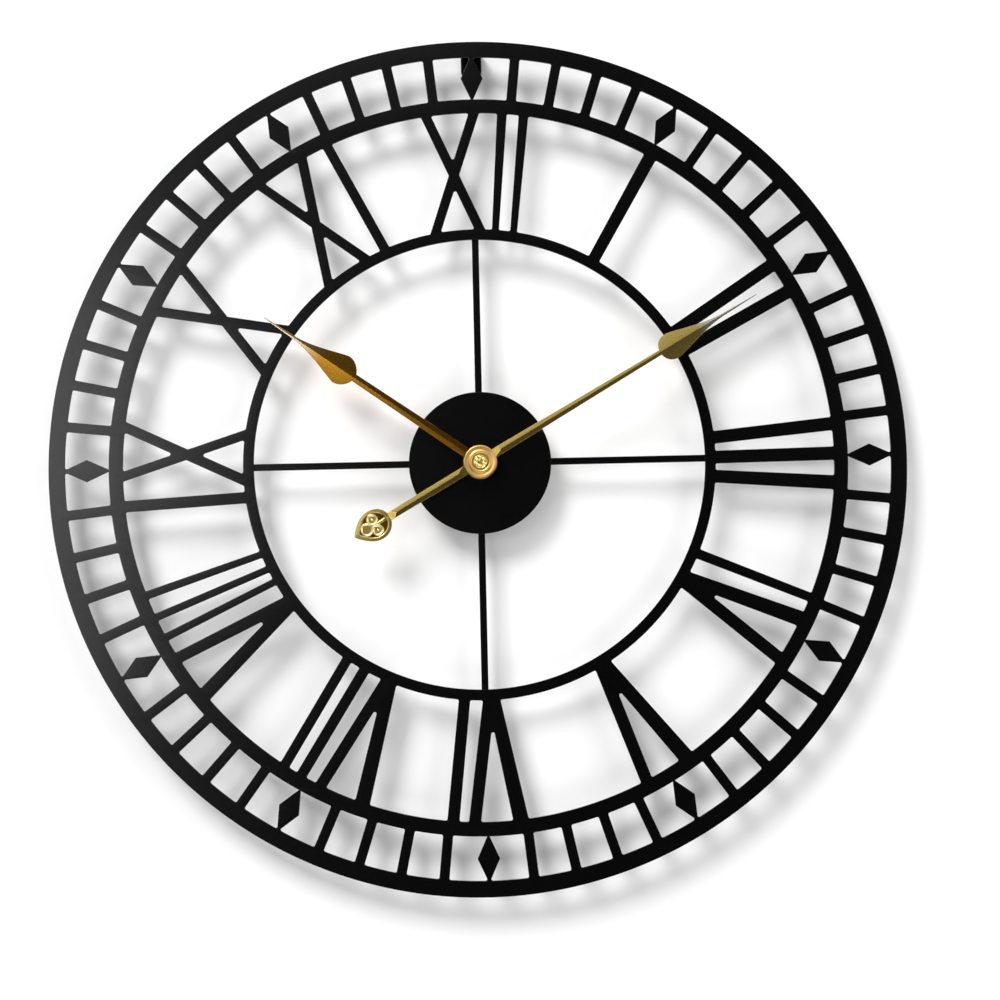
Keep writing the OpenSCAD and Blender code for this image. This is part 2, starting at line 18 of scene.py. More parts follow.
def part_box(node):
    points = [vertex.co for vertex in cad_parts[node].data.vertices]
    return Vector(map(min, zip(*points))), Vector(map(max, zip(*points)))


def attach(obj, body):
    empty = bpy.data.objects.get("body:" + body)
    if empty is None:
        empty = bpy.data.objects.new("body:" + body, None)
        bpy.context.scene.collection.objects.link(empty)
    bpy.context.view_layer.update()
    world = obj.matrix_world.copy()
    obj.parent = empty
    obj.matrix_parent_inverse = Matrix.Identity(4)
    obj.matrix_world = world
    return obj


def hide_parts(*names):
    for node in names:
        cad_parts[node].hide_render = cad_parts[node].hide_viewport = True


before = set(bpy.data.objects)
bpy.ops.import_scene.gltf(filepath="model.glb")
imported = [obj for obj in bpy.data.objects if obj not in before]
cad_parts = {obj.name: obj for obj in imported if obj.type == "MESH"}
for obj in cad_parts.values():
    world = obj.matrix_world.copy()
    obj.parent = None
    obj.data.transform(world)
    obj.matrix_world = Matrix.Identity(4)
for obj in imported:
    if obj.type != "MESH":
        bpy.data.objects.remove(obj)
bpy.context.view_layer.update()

MM = 0.001

# ---------- sizes ----------

# Two points, distances from the axis or heights are one if they differ by less than this
SAME_PLACE = 1e-7
SAME_RADIUS = 0.002 * MM
SAME_LEVEL = 0.01 * MM

# Rounding of the sheets' outlines, where the metal turns inwards and outwards, and of their edges
INNER_CORNER_R = 1.2 * MM
OUTER_CORNER_R = 0.35 * MM
SHEET_EDGE_R = 0.2 * MM
# How far the middle of a rounded edge lies inside its corner, as a share of its radius
EDGE_MIDDLE = 0.29
# An outline that turns less than this at a point has no corner there
CORNER_TURN = math.radians(12)
# The most that one corner takes of the side next to it
CORNER_SHARE = 0.45
# The angle from point to point round a corner, and along the face's rings
CORNER_STEP = math.radians(15)
ARC_STEP = math.radians(0.6)

# The hands' folded sheets
ROOF_SLOPE = math.tan(math.radians(12))
HAND_SHEET = 0.5 * MM
HAND_EDGE = 0.1 * MM
RIDGE_R = 0.4 * MM
FOLD_DEPTH = 1.4 * HAND_SHEET
CREASE = math.radians(3)
# A hand's outline runs through five points of (half width, distance along) in millimetres: the
# start of the stem, the spade's shoulder, its belly, its neck, and the tip. The pull is how far,
# across and along, the curve from the shoulder to the belly is first drawn.
HOUR_OUTLINE = [3.5, 8], [2.8, 105.5], [10.8, 116.5], [1.2, 156], [0.35, 181]
HOUR_PULL = (3.2, 1.2)
STEM_START = 10.3 * MM
STEM_HALF = 3.2
MINUTE_OUTLINE = [STEM_HALF, STEM_START / MM], [1.8, 147], [9.5, 157], [1, 198.5], [0.25, 226]
MINUTE_PULL = (4.6, 0.9)
# The ridge's height above the boss's back
MINUTE_RIDGE = 2.4 * MM
# The sloping facets where the minute hand's stem and tail meet the boss and the heart
FACET_DROP = 1.25 * MM
STEM_FACET_END = STEM_START + 6.7 * MM
TAIL_END = 75 * MM
TAIL_FACET_START = 67.4 * MM
TAIL_FACET_END = TAIL_END - 1 * MM
TAIL_TAPER = 0.005
# Where the painted highlight on the front of the hands' needles starts and reaches its full
# strength, along the hand
HOUR_HIGHLIGHT_SPAN = (132 * MM, 156 * MM)
MINUTE_HIGHLIGHT_SPAN = (177 * MM, 187 * MM)

# Turned pieces, as (radius, height above the piece's back) in millimetres
TURNED_POINTS = 160
COLLAR_BELOW_RIDGE = 2
HOUR_COLLAR = [
    (2.55, 0), (11.5, 0), (11.75, 0.1), (11.9, 0.35), (11.9, 0.85), (11.75, 1.1), (11.5, 1.2),
    (2.55, 1.2), (2.55, 0)]
BOSS_FRONT = 1.6
BOSS = [
    (1.74, 0), (10.9, 0), (11.15, 0.1), (11.3, 0.35), (11.3, 1.3), (11.2, 1.55), (10.95, 1.75),
    (10.5, 1.8), (9.4, 1.52), (8.9, 1.4), (8.6, 1.3), (8.3, 1.5), (8.05, 2.1), (7.7, 2.45),
    (7.2, 2.6), (6.6, 2.5), (6.2, 2.3), (5.8, 1.9), (5.65, 1.4), (5.65, 0.9), (5.0, 0.9),
    (5.0, BOSS_FRONT), (1.74, BOSS_FRONT), (1.74, 0)]

# The rosette over the hands, in millimetres, its rim and its ground counted from its back
ROSETTE_POINTS = 144
ROSETTE_RINGS = 39
ROSETTE_R = 4.9
ROSETTE_EDGE = 0.15
ROSETTE_RIM = 0.5
ROSETTE_GROUND = 0.7
PETALS = 6

# The heart on the minute hand's tail
HEART_POINTS = 240
HEART_RINGS = 56
HEART_CENTRE = 85.5 * MM
HEART_EDGE = 0.3 * MM
HEART_EDGE_INSET = 0.25 * MM
# Its heights above the boss's back, the last being where its painted highlight is brightest
HEART_BACK = 0.7 * MM
HEART_GROUND = 1.75 * MM
HEART_CREST = 2.6 * MM
HEART_HIGHLIGHT_HEIGHT = 2.45 * MM
# (across, along, radius) of the lobes in its relief, the side lobes first
LOBES = [
    (-4.1 * MM, 84.9 * MM, 4.4 * MM), (4.1 * MM, 84.9 * MM, 4.4 * MM), (0.0, 91.3 * MM, 5.0 * MM)]

# The bevels of the CAD pieces that keep their own shape
CAD_WELD = 0.001 * MM
BEVEL_ANGLE = math.radians(40)

# The cell, whose button stands out of the can
CELL_POINTS = 96
BUTTON = 1.3 * MM
CAN_SKIN = 0.15 * MM

WALL_HALF = 6.0
WALL_GAP = 0.2 * MM

# Softboxes round the clock: azimuth and elevation in degrees, distance, width and height in
# metres, and brightness as the white that they would show
SOFTBOXES = {
    "key": (-37.5, 44.5, 6.0, 2.2, 2.2, 20.5),
    "window": (-33, 7.4, 3.0, 2.0, 0.8, 2.6),
    "glint": (-24, -4.6, 3.0, 0.7, 0.24, 3.2),
    "upper_left": (-25, 34, 3.0, 2.4, 0.9, 0.46),
    "lower_left": (-34, -20, 3.0, 2.0, 1.0, 0.33),
    "fill_right": (56, 5, 3.5, 2.6, 3.2, 2.2),
    "fill_low": (0, -56, 3.5, 3.4, 2.4, 1.9),
    "fill_top": (14, 62, 3.5, 3.4, 2.2, 2.0),
    "rear_key": (205, 35, 3.5, 2.4, 2.4, 5.0),
    "rear_fill": (140, 5, 3.5, 2.6, 2.6, 1.6),
}
WORLD_LIGHT = 0.01

# The camera, in degrees and metres, and where it looks
CAMERA_AZIMUTH = -0.504
CAMERA_ELEVATION = -4.791
CAMERA_ROLL = 1.316
CAMERA_DISTANCE = 1.1
CAMERA_LENS = 56.65
CAMERA_SENSOR = 36.0
AIM_RIGHT = 13.3 * MM
AIM_BELOW = 26.4 * MM


# ---------- mesh building ----------

def add_object(name, data):
    thing = bpy.data.objects.new(name, data)
    bpy.context.scene.collection.objects.link(thing)
    return thing


def add_piece(name, body, points, faces, material, stands_for):
    """A smooth mesh that moves with a body and shows in place of CAD nodes."""
    mesh = bpy.data.meshes.new(name)
    mesh.from_pydata([tuple(p) for p in points], [], [tuple(f) for f in faces])
    mesh.validate()
    mesh.polygons.foreach_set("use_smooth", [True] * len(mesh.polygons))
    piece = add_object(name, mesh)
    mesh.materials.append(material)
    weigh_normals(piece)
    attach(piece, body)
    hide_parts(*stands_for)
    face_outwards(mesh)
    return piece


def weigh_normals(piece):
    """Large flat faces keep their own direction, and the shading turns in the narrow ones."""
    modifier = piece.modifiers.new("weighted normals", "WEIGHTED_NORMAL")
    modifier.weight = 100
    modifier.keep_sharp = True


def face_outwards(mesh):
    shape = bmesh.new()
    shape.from_mesh(mesh)
    bmesh.ops.remove_doubles(shape, verts=shape.verts, dist=SAME_PLACE)
    bmesh.ops.recalc_face_normals(shape, faces=shape.faces)
    shape.to_mesh(mesh)
    shape.free()


def bridge(count, rings, first=0):
    """Faces between rings of points, which are numbered one ring after another."""
    faces = []
    for low in range(first, first + count * (rings - 1), count):
        high = low + count
        for i in range(count):
            j = (i + 1) % count
            faces.append((low + i, low + j, high + j, high + i))
    return faces


def last_ring(count, rings, first=0):
    """The face that closes the last of such rings."""
    start = first + count * (rings - 1)
    return tuple(range(start + count - 1, start - 1, -1))


def tube(count, rings):
    """Faces of a shape made of rings, closed at both ends."""
    return [*bridge(count, rings), tuple(range(count)), last_ring(count, rings)]


def dome(count, rings):
    """Faces of a shape made of a middle point and the rings round it, closed by the last one."""
    fan = [(0, 1 + i, 1 + (i + 1) % count) for i in range(count)]
    return [*fan, *bridge(count, rings, 1), last_ring(count, rings, 1)]


def circle(count):
    """The angles of evenly spaced points round a circle."""
    return [2 * math.pi * i / count for i in range(count)]


def turned_piece(name, body, profile, back, material, node):
    """A lathe shape about the hands' axis, its profile counted from its back."""
    rings = [(r * MM, (back + h) * MM) for r, h in profile]
    points = [
        (r * math.sin(a), -h, r * math.cos(a)) for r, h in rings for a in circle(TURNED_POINTS)]
    faces = bridge(TURNED_POINTS, len(rings))
    add_piece(name, body, points, faces, material, [node])


def bezier(p, steps):
    p = np.array(p, float)
    t = np.linspace(0, 1, steps + 1)[:, None]
    s = 1 - t
    return s ** 3 * p[0] + 3 * s * s * t * p[1] + 3 * s * t * t * p[2] + t ** 3 * p[3]


def smooth_step(value, low, high):
    t = min(1.0, max(0.0, (value - low) / (high - low)))
    return t * t * (3 - 2 * t)


# ---------- sheet outlines from the CAD ----------

def front_loops(node):
    """The outlines of a node's flat front, as loops of (x, z) with the metal on their left."""
    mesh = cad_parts[node].data
    mesh.calc_loop_triangles()
    points = np.array([v.co for v in mesh.vertices])
    triangles = np.array([t.vertices for t in mesh.loop_triangles])
    _, first, same = np.unique(
        np.round(points / SAME_PLACE), axis=0, return_index=True, return_inverse=True)
    points = points[first]
    triangles = same.ravel()[triangles]
    front = points[:, 1].min()
    flat = triangles[(points[triangles][:, :, 1] < front + SAME_LEVEL).all(axis=1)]
    # an edge between two triangles is met in both directions, and an outline's edge only in one
    edges = set()
    for a, b, c in flat:
        for edge in ((a, b), (b, c), (c, a)):
            if edge[::-1] in edges:
                edges.remove(edge[::-1])
            else:
                edges.add(edge)
    following = dict(sorted(edges))
    loops = []
    while following:
        start = at = min(following)
        loop = []
        while at in following:
            loop.append(points[at][[0, 2]])
            at = following.pop(at)
        assert at == start
        loops.append(np.array(loop))
    return loops


def with_arcs(run):
    """A run of points whose stretches at one distance from the axis follow true arcs."""
    out = [run[0]]
    for p, q in zip(run, run[1:]):
        r = np.hypot(*p)
        if abs(r - np.hypot(*q)) < SAME_RADIUS:
            a = math.atan2(p[1], p[0])
            turn = (math.atan2(q[1], q[0]) - a + math.pi) % (2 * math.pi) - math.pi
            steps = max(1, math.ceil(abs(turn) / ARC_STEP))
            for i in range(1, steps):
                b = a + turn * i / steps
                out.append(np.array([r * math.cos(b), r * math.sin(b)]))
        out.append(q)
    return np.array(out)


def turns_of(loop):
    """How far the loop turns at each of its points, left being positive."""
    ahead = np.roll(loop, -1, axis=0) - loop
    behind = np.roll(ahead, 1, axis=0)
    cross = behind[:, 0] * ahead[:, 1] - behind[:, 1] * ahead[:, 0]
    return np.arctan2(cross, (behind * ahead).sum(axis=1))


def length_along(run):
    """The distance of each point of a run from its start, along the run."""
    return np.concatenate([[0], np.cumsum(np.hypot(*np.diff(run, axis=0).T))])


def at_lengths(run, along, places):
    """The points of a run at these distances along it."""
    return np.stack([np.interp(places, along, run[:, k]) for k in (0, 1)], axis=1)


def trimmed(run, start, end):
    """A run of points cut back by a length at each end."""
    along = length_along(run)
    low, high = start, along[-1] - end
    keep = [s for s in along if low + SAME_PLACE < s < high - SAME_PLACE]
    return at_lengths(run, along, [low, *keep, high])


def rounded(loop):
    """A loop with its corners rounded, less where the metal makes a point."""
    turn = turns_of(loop)
    corners = np.nonzero(np.abs(turn) > CORNER_TURN)[0]
    if len(corners) == 0:
        return with_arcs(np.vstack([loop, loop[:1]]))[:-1]
    loop = np.roll(loop, -corners[0], axis=0)
    corners = corners - corners[0]
    ends = [*corners[1:], len(loop)]
    closed = np.vstack([loop, loop[:1]])
    sides = [with_arcs(closed[a:b + 1]) for a, b in zip(corners, ends)]
    lengths = [length_along(side)[-1] for side in sides]
    corner_turns = turns_of(loop)[corners]
    cuts = []
    for k, angle in enumerate(corner_turns):
        radius = OUTER_CORNER_R if angle > 0 else INNER_CORNER_R
        cut = radius * math.tan(abs(angle) / 2)
        cuts.append(min(cut, CORNER_SHARE * lengths[k], CORNER_SHARE * lengths[k - 1]))
    sides = [
        trimmed(side, cuts[k], cuts[(k + 1) % len(cuts)]) for k, side in enumerate(sides)]
    out = []
    for k, side in enumerate(sides):
        out.extend(corner_arc(sides[k - 1], side, corner_turns[k], cuts[k]))
        out.extend(side)
    return np.array(out)


def spun(arm, angle):
    """An arm (x, z) turned left by an angle."""
    return np.array([
        arm[0] * math.cos(angle) - arm[1] * math.sin(angle),
        arm[0] * math.sin(angle) + arm[1] * math.cos(angle)])


def corner_arc(before, after, angle, cut):
    """The points between two trimmed sides, along the circle that touches both."""
    start, end = before[-1], after[0]
    forward = before[-1] - before[-2]
    forward = forward / np.hypot(*forward)
    radius = cut / math.tan(abs(angle) / 2)
    side = math.copysign(1, angle)
    to_centre = side * radius * np.array([-forward[1], forward[0]])
    centre, arm = start + to_centre, -to_centre
    # beside a curved side the circle misses its end a little, and the points share that out
    miss = end - (centre + spun(arm, angle))
    steps = max(3, math.ceil(abs(angle) / CORNER_STEP))
    return [centre + spun(arm, angle * i / steps) + miss * i / steps for i in range(1, steps)]


def inset(loop, distance):
    """A loop moved into the metal on its left."""
    ahead = np.roll(loop, -1, axis=0) - loop
    ahead = ahead / np.hypot(*ahead.T)[:, None]
    behind = np.roll(ahead, 1, axis=0)
    n1 = np.stack([-behind[:, 1], behind[:, 0]], axis=1)
    n2 = np.stack([-ahead[:, 1], ahead[:, 0]], axis=1)
    return loop + distance * (n1 + n2) / (1 + (n1 * n2).sum(axis=1))[:, None]


def sheet_piece(node, material):
    """A cut sheet in place of a CAD node: its outlines, with rounded corners and edges."""
    low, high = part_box(node)
    edge_r, middle = SHEET_EDGE_R, EDGE_MIDDLE * SHEET_EDGE_R
    # each outline's wall, from front to back, as (distance into the metal, y)
    levels = [
        (edge_r, low.y), (middle, low.y + middle), (0, low.y + edge_r),
        (0, high.y - edge_r), (middle, high.y - middle), (edge_r, high.y)]
    points, faces, fronts, backs = [], [], [], []
    for loop in map(rounded, front_loops(node)):
        first, count = len(points), len(loop)
        for distance, y in levels:
            points.extend((x, y, z) for x, z in inset(loop, distance))
        faces.extend(bridge(count, len(levels), first))
        fronts.append(range(first, first + count))
        backs.append(range(len(points) - count, len(points)))
    for rings, flip in ((fronts, False), (backs, True)):
        numbers = [i for ring in rings for i in ring]
        outlines = [[Vector((points[i][0], points[i][2], 0)) for i in ring] for ring in rings]
        for triangle in tessellate_polygon(outlines):
            corners = [numbers[i] for i in triangle]
            faces.append(corners[::-1] if flip else corners)
    add_piece(node + "_sheet", "frame", points, faces, material, [node])


# ---------- materials ----------

class Look:
    """A procedural material: a Principled shader, and textures measured in metres."""

    def __init__(self, name, color, roughness, metallic=0.0, **sockets):
        self.material = bpy.data.materials.new(name)
        self.material.use_nodes = True
        self.tree = self.material.node_tree
        self.shader = self.tree.nodes["Principled BSDF"]
        self.put("Base Color", (*color, 1))
        self.put("Roughness", roughness)
        self.put("Metallic", metallic)
        for socket, value in sockets.items():
            self.put(socket.replace("_", " "), value)
        self.height = None

    def put(self, socket, value):
        self.shader.inputs[socket].default_value = value

    def add(self, kind, **values):
        node = self.tree.nodes.new(kind)
        for key, value in values.items():
            setattr(node, key, value)
        return node

    def join(self, output, socket):
        self.tree.links.new(output, socket)

    def remap(self, value, low, high, to_low=0.0, to_high=1.0):
        """A value's range taken to another range, and kept inside it."""
        node = self.add("ShaderNodeMapRange")
        node.inputs["From Min"].default_value = low
        node.inputs["From Max"].default_value = high
        node.inputs["To Min"].default_value = to_low
        node.inputs["To Max"].default_value = to_high
        self.join(value, node.inputs["Value"])
        return node.outputs["Result"]

    def axis(self, vector, name):
        split = self.add("ShaderNodeSeparateXYZ")
        self.join(vector, split.inputs[0])
        return split.outputs[name]

    def places(self, size, turn=0.0):
        """Object coordinates, turned about the hands' axis and counted in features of a size."""
        where = self.add("ShaderNodeTexCoord")
        mapping = self.add("ShaderNodeMapping", vector_type="TEXTURE")
        mapping.inputs["Rotation"].default_value = (0, turn, 0)
        mapping.inputs["Scale"].default_value = size
        self.join(where.outputs["Object"], mapping.inputs["Vector"])
        return mapping.outputs["Vector"]

    def grain(self, size, detail=3.0, turn=0.0):
        """Noise with features of a size, in metres, one number or one for each axis."""
        size = (size,) * 3 if isinstance(size, float) else size
        noise = self.add("ShaderNodeTexNoise")
        noise.inputs["Scale"].default_value = 1.0
        noise.inputs["Detail"].default_value = detail
        noise.inputs["Roughness"].default_value = 0.55
        self.join(self.places(size, turn), noise.inputs["Vector"])
        return noise.outputs["Fac"]

    def rings(self, size):
        """Noise that changes only with the distance from the hands' axis, as turning leaves it."""
        flat = self.add("ShaderNodeVectorMath", operation="MULTIPLY")
        flat.inputs[1].default_value = (1, 0, 1)
        self.join(self.places((size,) * 3), flat.inputs[0])
        length = self.add("ShaderNodeVectorMath", operation="LENGTH")
        self.join(flat.outputs["Vector"], length.inputs[0])
        noise = self.add("ShaderNodeTexNoise", noise_dimensions="1D")
        noise.inputs["Scale"].default_value = 1.0
        noise.inputs["Detail"].default_value = 2.0
        self.join(length.outputs["Value"], noise.inputs["W"])
        return noise.outputs["Fac"]

    def depth(self, high, low):
        """0 at a height above the wall and 1 at a lower one."""
        where = self.add("ShaderNodeTexCoord")
        return self.remap(self.axis(where.outputs["Object"], "Y"), -high, -low)

    def along(self, turn, start, end):
        """0 at a distance from the hands' axis in the direction of a hand, and 1 at another."""
        return self.remap(self.axis(self.places((1, 1, 1), turn), "Z"), start, end)

    def on_front(self, share):
        """The share where the surface faces the front, and none where it faces the wall."""
        where = self.add("ShaderNodeTexCoord")
        facing = self.remap(self.axis(where.outputs["Normal"], "Y"), 0.1, -0.3)
        both = self.add("ShaderNodeMath", operation="MULTIPLY")
        self.join(share, both.inputs[0])
        self.join(facing, both.inputs[1])
        return both.outputs[0]

    def fade(self, share, color):
        """Takes the base colour to another one by a share."""
        mix = self.add("ShaderNodeMix", data_type="RGBA")
        base = self.shader.inputs["Base Color"]
        self.join(share, mix.inputs["Factor"])
        self.join(base.links[0].from_socket, mix.inputs["A"])
        mix.inputs["B"].default_value = (*color, 1)
        self.join(mix.outputs["Result"], base)

    def tint(self, share, *stops):
        """The base colour, from stops of (share, colour)."""
        ramp = self.add("ShaderNodeValToRGB")
        elements = ramp.color_ramp.elements
        for element, (position, color) in ((elements[0], stops[0]), (elements[1], stops[-1])):
            element.position = position
            element.color = (*color, 1)
        for position, color in stops[1:-1]:
            elements.new(position).color = (*color, 1)
        self.join(share, ramp.inputs["Fac"])
        self.join(ramp.outputs["Color"], self.shader.inputs["Base Color"])

    def roughen(self, share, low, high):
        """The roughness, from low to high as noise goes over the middle of its range."""
        self.join(self.remap(share, 0.3, 0.7, low, high), self.shader.inputs["Roughness"])

    def bump(self, share, depth, strength):
        """Adds relief of a depth in metres to the surface."""
        node = self.add("ShaderNodeBump")
        node.inputs["Strength"].default_value = strength
        node.inputs["Distance"].default_value = depth
        self.join(share, node.inputs["Height"])
        if self.height is not None:
            self.join(self.height, node.inputs["Normal"])
        self.height = node.outputs["Normal"]
        self.join(self.height, self.shader.inputs["Normal"])


def powder_coat():
    """Satin black powder coat: a fine orange peel with a few coarser specks."""
    look = Look("powder_coat", (0.0006, 0.0006, 0.0006), 0.23, Specular_IOR_Level=0.5)
    look.tint(look.grain(0.03), (0.35, (0.0004,) * 3), (0.65, (0.0008,) * 3))
    look.roughen(look.grain(0.0011), 0.20, 0.26)
    look.bump(look.grain(0.0016, detail=2.0), 0.00003, 0.5)
    look.bump(look.grain(0.0005, detail=2.0), 0.00001, 0.5)
    return look.material


def gold_leafing(name, bright, deep, highlight_color, turn, fade, roughness):
    """Gold-anodised sheet, brushed along the hand, with a painted highlight that lightens the
    needle on its front.
    """
    look = Look(name, bright, roughness, metallic=1.0)
    grain = look.grain((0.008, 0.008, 0.04), detail=1.0, turn=turn)
    look.tint(grain, (0.3, deep), (0.7, bright))
    # painted highlight: the needle's front is taken towards a lighter colour from the start of the
    # span to its end
    look.fade(look.on_front(look.along(turn, *fade)), highlight_color)
    brushing = look.grain((0.002, 0.002, 0.03), detail=1.0, turn=turn)
    look.roughen(brushing, roughness - 0.006, roughness + 0.006)
    return look.material


def turned_gold(name, bright, deep, roughness):
    """Satin gold with the fine rings that turning leaves."""
    look = Look(name, bright, roughness, metallic=1.0)
    look.tint(look.rings(0.0008), (0.3, deep), (0.7, bright))
    look.roughen(look.grain(0.0007), roughness - 0.06, roughness + 0.08)
    look.bump(look.rings(0.0003), 0.000012, 0.5)
    look.bump(look.grain(0.0004), 0.00001, 0.4)
    return look.material


def relief_gold_painted_shade(high, low):
    """Polished gold on a cast relief, with painted shade darkening its sunk ground and a painted
    highlight on its crests.
    """
    look = Look("relief_gold_painted_shade", (0.85, 0.62, 0.22), 0.28, metallic=1.0)
    # painted shade and highlight: near white on the crests, darkening with depth to dark brown in
    # the sunk ground
    look.tint(look.depth(high, low), (0.0, (1.0, 0.88, 0.50)), (0.25, (0.88, 0.68, 0.24)),
              (0.5, (0.66, 0.48, 0.14)), (1.0, (0.16, 0.09, 0.02)))
    look.roughen(look.grain(0.0012), 0.29, 0.36)
    return look.material


def moulded(name, dark, light, roughness, texture=0.0006):
    """Moulded plastic with a fine spark-eroded texture."""
    look = Look(name, light, roughness)
    look.tint(look.grain(0.012), (0.35, dark), (0.65, light))
    look.roughen(look.grain(texture * 2), roughness - 0.06, roughness + 0.08)
    look.bump(look.grain(texture, detail=2.0), 0.00002, 0.5)
    return look.material


def metal(name, dark, light, roughness):
    """Rolled or plated sheet metal with a drawn grain."""
    look = Look(name, light, roughness, metallic=1.0)
    look.tint(look.grain(0.004), (0.35, dark), (0.65, light))
    drawn = (0.0004, 0.01, 0.004)
    look.roughen(look.grain(drawn), roughness - 0.07, roughness + 0.09)
    look.bump(look.grain(drawn), 0.000006, 0.4)
    return look.material


def bright_steel(name):
    """Nickel-plated steel."""
    return metal(name, (0.52, 0.52, 0.53), (0.66, 0.66, 0.67), 0.25)


def wound_wire():
    """Enamelled copper wire, wound in fine turns along X."""
    look = Look("copper", (0.55, 0.2, 0.08), 0.3, metallic=1.0, Coat_Weight=0.4)
    wave = look.add("ShaderNodeTexWave", bands_direction="X")
    wave.inputs["Scale"].default_value = 0.32
    wave.inputs["Distortion"].default_value = 0.4
    look.join(look.places((0.00004,) * 3), wave.inputs["Vector"])
    look.tint(wave.outputs["Fac"], (0.0, (0.25, 0.08, 0.03)), (1.0, (0.70, 0.28, 0.12)))
    look.bump(wave.outputs["Fac"], 0.00002, 0.8)
    return look.material


def board_laminate():
    """Green solder resist over copper tracks."""
    look = Look("board_green", (0.02, 0.12, 0.05), 0.35, Coat_Weight=0.5)
    tracks = look.add("ShaderNodeTexBrick")
    tracks.inputs["Scale"].default_value = 1.0
    tracks.inputs["Mortar Size"].default_value = 0.12
    tracks.inputs["Color1"].default_value = (0.02, 0.11, 0.045, 1)
    tracks.inputs["Color2"].default_value = (0.02, 0.13, 0.05, 1)
    tracks.inputs["Mortar"].default_value = (0.05, 0.22, 0.09, 1)
    look.join(look.places((0.004,) * 3), tracks.inputs["Vector"])
    look.join(tracks.outputs["Color"], look.shader.inputs["Base Color"])
    look.bump(tracks.outputs["Fac"], 0.00003, 0.6)
    return look.material


# ---------- hands ----------

def hand_angle(node):
    """The angle of a hand, clockwise from 12: its farthest point from the axis is its tip."""
    points = np.array([v.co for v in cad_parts[node].data.vertices])
    tip = points[np.hypot(points[:, 0], points[:, 2]).argmax()]
    return math.atan2(tip[0], tip[2])


def on_hand(angle, across, along, height):
    """A point of a hand at that angle, from its place across and along it and above the wall."""
    return (
        across * math.cos(angle) + along * math.sin(angle),
        -height,
        -across * math.sin(angle) + along * math.cos(angle))


def spade(stem, shoulder, belly, neck, tip, pull):
    """Half the outline of a spade hand. The pull sets how its shoulder curves out of the stem."""
    stem, shoulder, belly, neck, tip = (
        np.array(p, float) for p in (stem, shoulder, belly, neck, tip))
    swell = bezier([shoulder, shoulder + pull, belly - [0, 5.5], belly], 20)
    taper_pull = [neck[0] + 0.6, (belly[1] + 1.4 * neck[1]) / 2.4]
    taper = bezier([belly, belly + [0, 4], taper_pull, neck], 28)
    shaft = [stem + (shoulder - stem) * t for t in np.linspace(0, 1, 24)]
    needle = [neck + (tip - neck) * t for t in np.linspace(0, 1, 16)]
    return np.array([*shaft[:-1], *swell[:-1], *taper[:-1], *needle]) * MM


def with_points_at(outline, *places):
    """The outline with a point added at each of these distances, so that a facet ends there."""
    along = outline[:, 1]
    added = [[np.interp(p, along, outline[:, 0]), p] for p in places]
    out = np.array(sorted([*outline.tolist(), *added], key=lambda p: p[1]))
    keep = np.concatenate([[True], np.diff(out[:, 1]) > SAME_PLACE])
    return out[keep]


def facet_height(along, ridge, facets):
    """How high the sloping facets at a hand's ends leave the ridge."""
    for low_end, high_end in facets:
        share = (high_end - along) / (high_end - low_end)
        if 0 < share <= 1:
            return ridge - FACET_DROP * share
    return ridge


def roof_section(width, top, ridge):
    """Half a cross-section of a folded sheet, from its ridge out, as (across, height)."""
    # where the hand is narrow, its rounding shrinks with it
    soft = min(HAND_EDGE, 0.3 * width)
    ridge_r = min(RIDGE_R, 0.3 * width)
    crest = min((ridge - top) / ROOF_SLOPE, width - 1.5 * soft)
    reach = max(ridge_r, crest)
    out = []
    for share in (0.2, 0.6, 1.0):
        x = share * reach
        rounded_h = ridge - 0.5 * ridge_r * ROOF_SLOPE * (1 + min(1.0, x / ridge_r) ** 2)
        roof_h = rounded_h if x <= ridge_r else ridge - x * ROOF_SLOPE
        out.append((x, min(top, roof_h)))
    edge_h = min(top, ridge - width * ROOF_SLOPE)
    inner_h = min(top, ridge - (width - soft) * ROOF_SLOPE)
    out.extend([(width - soft, inner_h), (width, edge_h - soft), (width, edge_h - HAND_SHEET)])
    return out


def roof_piece(name, body, outline, ridge, angle, material, node, facets=()):
    """A sheet folded along its middle. A facet slopes from its high end down to its low end."""
    points = []
    for width, along in outline:
        top = facet_height(along, ridge, facets)
        half = roof_section(width, top, ridge)
        under = (0.0, top - FOLD_DEPTH)
        section = [(-x, h) for x, h in half[::-1]] + half + [under]
        points.extend(on_hand(angle, x, along, h) for x, h in section)
    faces = tube(len(section), len(outline))
    piece = add_piece(name, body, points, faces, material, [node])
    # the folds stay sharp, so the flats keep their own direction without weighing
    piece.modifiers.clear()
    piece.data.set_sharp_from_angle(angle=CREASE)


def heart_outline():
    """The heart's closed outline, as evenly spaced points (across, along) in metres."""
    base = np.array([[0, 73.5]])
    shoulder = bezier([[3, 73.5], [8, 75], [10.9, 79.5], [10.9, 85]], 40)
    side = bezier([[10.9, 85], [10.9, 91], [6.5, 96], [1.3, 100.5]], 50)
    tip = bezier([[1.3, 100.5], [0.9, 100.85], [0.45, 101.1], [0, 101.1]], 8)
    half = np.vstack([base, shoulder, side[1:], tip[1:]])
    full = np.vstack([half, half[-2:0:-1] * [-1, 1]]) * MM
    closed = np.vstack([full, full[:1]])
    along = length_along(closed)
    return at_lengths(closed, along, np.linspace(0, along[-1], HEART_POINTS, endpoint=False))


